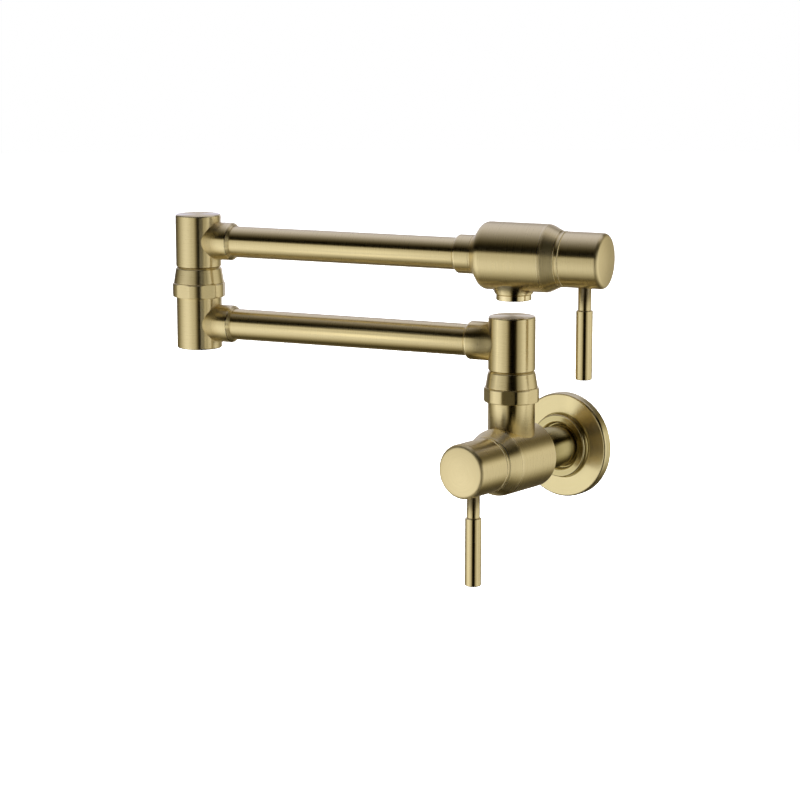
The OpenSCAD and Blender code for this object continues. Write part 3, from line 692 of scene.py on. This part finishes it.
# Handles
def handle_cap(prefix, matrix):
    """Round handle with a rounded edge that runs on into a shallow dome."""
    top = CAP_FROM + CAP_L
    inner_r = CAP_R - 2.4
    insert_r, insert_from = 9.6, CAP_FROM + 2.8
    spline_r, spline_top = 7.0, top - 5.2
    edge = arc(CAP_R - CAP_EDGE, top - 1.5, CAP_EDGE, 0, 80, 24)
    dome_r, dome_h, dome_foot = CAP_R - 0.8264 * CAP_EDGE, 1.224, top + 1.256   # where the edge ends
    end = dome(dome_r, dome_h, dome_foot)[1:]
    cap = dress(turned(prefix + "_handle_cap_form", matrix, [
        (inner_r, CAP_FROM, 0.25), (CAP_R, CAP_FROM, 0.3)] + edge + end + [
        (0, spline_top), (spline_r + FIT, spline_top), (spline_r + FIT, insert_from, 0.2),
        (insert_r, insert_from, 0.3), (insert_r, top - 4), (inner_r, top - 4)]), prefix + "_handle_cap")
    second_finish_or_shade(cap, SPUN_GOLD, lambda r, z: z > top + 0.6)


def lever(prefix, matrix):
    """Neck that is screwed into the handle, and the thicker grip on it."""
    dress(turned(prefix + "_lever_rod_form", matrix @ LEVER, [
        (0, TIP_FROM + FIT), (TIP_R, TIP_FROM + FIT, 0.2), (TIP_R, CAP_R - 0.9), (NECK_R, CAP_R - 0.9),
        (NECK_R, NECK_END - 0.05, 0.2), (STUD_R, NECK_END - 0.05), (STUD_R, NECK_END + STUD_L, 0.3),
        (0, NECK_END + STUD_L)], closed=False, seg=LEVER_SIDES), prefix + "_lever_rod")
    bore_end = NECK_END + STUD_L + 0.2
    dress(turned(prefix + "_lever_grip_form", matrix @ LEVER, [
        (STUD_R + FIT, NECK_END, 0.1), (GRIP_R, NECK_END, 0.45), (GRIP_R, LEVER_L, 1.0), (0, LEVER_L),
        (0, bore_end), (STUD_R + FIT, bore_end)], seg=LEVER_SIDES), prefix + "_lever_grip")


def build_tap():
    wall_flange()
    inlet_shank()
    wall_valve()
    bonnet("wall_bonnet_form", WALL_FACE, "wall_bonnet")
    base_post()
    swivel_nut("base_swivel_nut_form", BASE_POST @ shift(0, 0, BASE_NUT), BASE_NUT_TURN,
               "base_swivel_nut")
    hanging_post("lower_arm_post_form", BASE, BASE_TEE, "lower_arm_post")
    hanging_post("elbow_upper_post_form", ELBOW, MID_TEE, "elbow_upper_post")
    elbow_lower_post()
    swivel_nut("mid_swivel_nut_form", ELBOW @ shift(0, 0, MID_NUT), MID_NUT_TURN - ARM_TURN,
               "mid_swivel_nut")
    post_collar("lower_inner_collar_form", LOWER_ARM, INNER_COLLAR_TO, "lower_inner_collar")
    arm_tube("lower_arm_tube_form", LOWER_ARM, ARM_L - TUBE_FROM, "lower_arm_tube")
    post_collar("lower_outer_collar_form", LOWER_ARM_FAR, ELBOW_COLLAR_TO, "lower_outer_collar")
    post_collar("upper_inner_collar_form", UPPER_ARM, ELBOW_COLLAR_TO, "upper_inner_collar")
    arm_tube("upper_arm_tube_form", UPPER_ARM, TUBE_END, "upper_arm_tube")
    spout_collar()
    spout_valve()
    bonnet("spout_bonnet_form", SPOUT_FACE, "spout_bonnet")
    spout_nozzle()
    aerator()
    for prefix, face in (("wall", WALL_FACE), ("spout", SPOUT_FACE)):
        handle_cap(prefix, face)
        lever(prefix, face)
    # The posts and rods show only the studio, not these neighbours
    for name in ("wall_bonnet_form", "wall_handle_cap_form", "spout_valve_barrel", "spout_handle_cap_form"):
        bpy.data.objects[name].visible_glossy = False


build_tap()


# Camera, in metres, fitted to the photo
CAMERA_AT = (0.84759, -1.25677, 0.30094)
CAMERA_LOOK = (-0.60365, 0.77701, -0.17851)
CAMERA_TURN = 37.84         # of its right-hand side from the wall, in degrees
PICTURE_PX = 800.0
FOCAL_PX = 2521.9
SENSOR = 36.0
HALF_PIXEL = 0.5 / PICTURE_PX
# Level directions as the camera has them: to its right, and toward it
ACROSS = Vector((0.7897, 0.6135, 0))
TOWARD = Vector((0.6135, -0.7897, 0))


def add_camera():
    data = bpy.data.cameras.new("camera")
    camera = bpy.data.objects.new("camera", data)
    bpy.context.scene.collection.objects.link(camera)
    look = Vector(CAMERA_LOOK).normalized()
    turn = math.radians(CAMERA_TURN)
    up = Vector((math.cos(turn), math.sin(turn), 0)).cross(look).normalized()
    right = look.cross(up).normalized()
    matrix = Matrix((right, up, -look)).transposed().to_4x4()
    matrix.translation = Vector(CAMERA_AT)
    camera.matrix_world = matrix
    data.sensor_fit = "HORIZONTAL"
    data.sensor_width = SENSOR
    data.lens = SENSOR * FOCAL_PX / PICTURE_PX
    data.shift_x = -HALF_PIXEL
    data.shift_y = HALF_PIXEL
    data.clip_start = 0.05
    data.clip_end = 60.0
    bpy.context.scene.camera = camera


add_camera()


# The studio's dome of light, in metres
DOME_R = 1.2
DOME_CENTRE = (0.0, -0.059, 0.06)
LEFT_GLOW = 1.42
RIGHT_GLOW = 1.25
BACK_GLOW = 0.35
LEAST_GLOW = 0.003


def dome_mesh(rows=48, cols=96):
    verts, faces = [(0, 0, DOME_R)], []
    for i in range(1, rows):
        down = math.pi * i / rows
        for k in range(cols):
            about = 2 * math.pi * k / cols
            verts.append((DOME_R * math.sin(down) * math.cos(about),
                          DOME_R * math.sin(down) * math.sin(about), DOME_R * math.cos(down)))
    verts.append((0, 0, -DOME_R))
    last = len(verts) - 1
    for k in range(cols):
        k2 = (k + 1) % cols
        faces.append((0, 1 + k2, 1 + k))
        for i in range(rows - 2):
            a, b = 1 + i * cols, 1 + (i + 1) * cols
            faces.append((a + k, a + k2, b + k2, b + k))
        faces.append((last, 1 + (rows - 2) * cols + k, 1 + (rows - 2) * cols + k2))
    mesh = bpy.data.meshes.new("light_dome")
    mesh.from_pydata(verts, [], faces)
    mesh.shade_smooth()
    return mesh


dome_material = bpy.data.materials.new("light_dome_panels")
dome_material.use_nodes = True
dome_material.cycles.emission_sampling = "FRONT_BACK"
LIGHT = dome_material.node_tree
LIGHT.nodes.clear()


def times(*values):
    out = values[0]
    for value in values[1:]:
        out = math_node(LIGHT, "MULTIPLY", out, value)
    return out


def plus(*values):
    out = values[0]
    for value in values[1:]:
        out = math_node(LIGHT, "ADD", out, value)
    return out


def less(a, b):
    return math_node(LIGHT, "SUBTRACT", a, b)


def span(value, lo, hi, to_lo, to_hi, kind="SMOOTHSTEP"):
    """Runs from to_lo to to_hi while an angle runs from lo to hi degrees."""
    return ramp(LIGHT, value, math.radians(lo), math.radians(hi), to_lo, to_hi, kind)


def coloured(brightness, tint):
    """A colour whose channels are tint's factor times the brightness to tint's power."""
    out = node(LIGHT, "ShaderNodeCombineXYZ")
    for i, (factor, power) in enumerate(tint):
        LIGHT.links.new(times(math_node(LIGHT, "POWER", brightness, power), factor), out.inputs[i])
    return out.outputs[0]


def dome_directions():
    """Angles of a point of the dome: turn about the vertical from the camera's side, positive to the
    right; height above the horizon; tilt over the top; and the angle around the arms at which an arm
    mirrors that point into the camera."""
    camera_fall, camera_level = 0.1785, 0.984       # the camera's direction, down and level
    arm_across, arm_toward = 0.9147, 0.4043         # the arms' direction, as the camera has it
    coordinates = node(LIGHT, "ShaderNodeTexCoord")
    unit = node(LIGHT, "ShaderNodeVectorMath", operation="NORMALIZE")
    LIGHT.links.new(coordinates.outputs["Object"], unit.inputs[0])
    parts = node(LIGHT, "ShaderNodeSeparateXYZ")
    LIGHT.links.new(unit.outputs[0], parts.inputs[0])
    x, y, z = parts.outputs
    side = plus(times(x, ACROSS.x), times(y, ACROSS.y))
    front = less(times(x, TOWARD.x), times(y, -TOWARD.y))
    off_arm = less(times(plus(front, camera_level), arm_across), times(side, arm_toward))
    return (math_node(LIGHT, "ARCTAN2", side, front), math_node(LIGHT, "ARCSINE", z),
            math_node(LIGHT, "ARCTAN2", z, front),
            math_node(LIGHT, "ARCTAN2", plus(z, camera_fall), off_arm))


turn, height, tilt, arm_turn = dome_directions()


def left_softbox():
    """Tall and bright; its upper edge follows the arms and sags toward the camera."""
    across = times(plus(span(turn, -35, -10, 0.6, 0.0), span(turn, -70, -33, 0.28, 0.0)),
                   span(turn, -136, -74, 0.15, 1.0))
    sagging = plus(arm_turn, times(span(turn, -45, 10, 0, 1, "LINEAR"), math.radians(5)))
    upright = times(span(height, -78, -24, 0.08, 1.0), span(height, -20, 14, 1.0, 0.74))
    return times(across, upright, span(sagging, 12.5, 18.5, 1.0, 0.0), LEFT_GLOW)


def right_softbox():
    """Starts right of the camera, has a thin dark seam, and runs on round the back with a lower top."""
    seam = times(span(turn, 72, 76, 0, 0.6), span(turn, 76, 80, 1, 0))
    across = times(plus(span(turn, 16, 30, 0, 0.5), span(turn, 30, 62, 0, 0.33)),
                   span(turn, 70, 100, 1.0, 0.84), span(turn, 100, 150, 1.0, 0.18), less(1.0, seam))
    sagging = plus(height, times(span(turn, 16, 54, 1, 0, "LINEAR"), math.radians(20)))
    beside = times(span(height, -70, -16, 0.10, 1.0), span(sagging, 12, 34, 1.0, 0.0))
    behind = times(span(height, -56, -20, 0.06, 1.0), span(height, 4, 31, 1.0, 0.10))
    toward_back = span(turn, 70, 108, 0, 1)
    upright = plus(times(beside, less(1.0, toward_back)), times(behind, toward_back))
    return times(across, upright, RIGHT_GLOW)


def ceiling():
    """Pale above, with a black band between it and the right softbox."""
    band = times(span(turn, 30, 50, 0, 1), span(turn, 146, 166, 1, 0), span(height, 38, 52, 1, 0))
    over_right = times(span(tilt, 60, 118, 0.0, 0.66), less(1.0, times(band, 0.88)),
                       span(tilt, 168, 178, 1, 0.6))
    over_left = times(span(arm_turn, 24, 64, 0.0, 0.72), span(arm_turn, 72, 86, 1.0, 0.65))
    on_left = less(1.0, times(span(turn, -45, -8, 0, 1), span(turn, 160, 176, 1, 0)))
    whole = plus(times(over_left, on_left), times(over_right, less(1.0, on_left)), LEAST_GLOW)
    return times(whole, span(height, -8, 6, 0, 1))


def back_panel():
    """A low grey panel straight behind the tap."""
    there = math_node(LIGHT, "GREATER_THAN", math_node(LIGHT, "ABSOLUTE", turn), math.radians(150))
    return times(there, span(height, -40, -25, 0, 1), span(height, 4, 14, 1, 0), BACK_GLOW)


def add_dome():
    """The dimmer a panel, the warmer its light; the ceiling and the back panel are cooler."""
    warm = coloured(plus(left_softbox(), right_softbox()), ((1.0, 1.0), (0.995, 1.07), (0.96, 1.32)))
    cool = coloured(plus(ceiling(), back_panel()), ((1.0, 1.0), (1.05, 1.07), (1.55, 1.35)))
    both = node(LIGHT, "ShaderNodeVectorMath", operation="ADD")
    LIGHT.links.new(warm, both.inputs[0])
    LIGHT.links.new(cool, both.inputs[1])
    glow = node(LIGHT, "ShaderNodeEmission")
    LIGHT.links.new(both.outputs[0], glow.inputs[0])
    glow.inputs[1].default_value = 1.0
    LIGHT.links.new(glow.outputs[0], node(LIGHT, "ShaderNodeOutputMaterial").inputs[0])
    obj = bpy.data.objects.new("light_dome", dome_mesh())
    obj.location = DOME_CENTRE
    obj.data.materials.append(dome_material)
    bpy.context.scene.collection.objects.link(obj)
    obj.visible_camera = False
    obj.visible_shadow = False


# Backdrop, floor and lamps
FLOOR_R = 9.0
FLOOR_Z = -0.55
FLOOR_SIDES = 96


def add_world():
    """White, and seen by the camera alone."""
    world = bpy.data.worlds.new("studio")
    bpy.context.scene.world = world
    world.use_nodes = True
    background = world.node_tree.nodes["Background"]
    background.inputs[0].default_value = (1, 1, 1, 1)
    background.inputs[1].default_value = 1.0
    world.cycles_visibility.glossy = False
    world.cycles_visibility.diffuse = False


def add_floor():
    """Pale floor, which glows enough to stay white out to its far edge."""
    mesh = bpy.data.meshes.new("floor")
    angles = [2 * math.pi * k / FLOOR_SIDES for k in range(FLOOR_SIDES)]
    verts = [(FLOOR_R * math.cos(a), FLOOR_R * math.sin(a), FLOOR_Z) for a in angles]
    mesh.from_pydata(verts, [], [tuple(range(FLOOR_SIDES))])
    floor = bpy.data.objects.new("floor", mesh)
    bpy.context.scene.collection.objects.link(floor)
    material = bpy.data.materials.new("floor_pale")
    material.use_nodes = True
    tree = material.node_tree
    shader = tree.nodes["Principled BSDF"]
    shader.inputs["Roughness"].default_value = 0.9
    shader.inputs["Specular IOR Level"].default_value = 0.0
    shader.inputs["Emission Strength"].default_value = 0.9
    cloud = node(tree, "ShaderNodeTexNoise")
    cloud.inputs["Scale"].default_value = 3.0
    tone = mixed(tree, cloud.outputs["Fac"], (0.93, 0.93, 0.93, 1), (0.95, 0.95, 0.95, 1))
    tree.links.new(tone, shader.inputs["Base Color"])
    tree.links.new(tone, shader.inputs["Emission Color"])
    mesh.materials.append(material)
    floor.visible_glossy = False


def add_overhead():
    data = bpy.data.lights.new("overhead", "AREA")
    data.shape = "DISK"
    data.size = 6.0
    data.energy = 900.0
    lamp = bpy.data.objects.new("overhead", data)
    bpy.context.scene.collection.objects.link(lamp)
    lamp.location = (0, 1.0, 4.5)
    lamp.visible_glossy = False
    lamp.visible_camera = False


def add_card(name, z, height, power):
    """A small dim panel in front of the elbow, in metres, seen in its posts."""
    width, side_at, front_at = 0.0635, -0.17675, 0.0825
    data = bpy.data.lights.new(name, "AREA")
    data.shape = "RECTANGLE"
    data.size = width
    data.size_y = height
    data.energy = power
    data.color = (1.0, 0.98, 0.9)
    lamp = bpy.data.objects.new(name, data)
    bpy.context.scene.collection.objects.link(lamp)
    matrix = Matrix((ACROSS, (0, 0, 1), TOWARD)).transposed().to_4x4()
    matrix.translation = ACROSS * side_at + TOWARD * front_at + Vector((0, 0, z))
    lamp.matrix_world = matrix
    lamp.visible_camera = False


def set_picture():
    scene = bpy.context.scene
    scene.view_settings.view_transform = "Standard"
    scene.view_settings.look = "None"
    scene.view_settings.exposure = 0.0
    scene.view_settings.gamma = 1.0
    scene.cycles.use_denoising = True
    scene.cycles.max_bounces = 8
    scene.cycles.glossy_bounces = 5
    scene.cycles.caustics_reflective = False
    scene.cycles.caustics_refractive = False


add_dome()
add_world()
add_floor()
add_overhead()
add_card("card_upper", 0.103, 0.034, 0.0024)
add_card("card_lower", 0.046, 0.032, 0.0048)
set_picture()
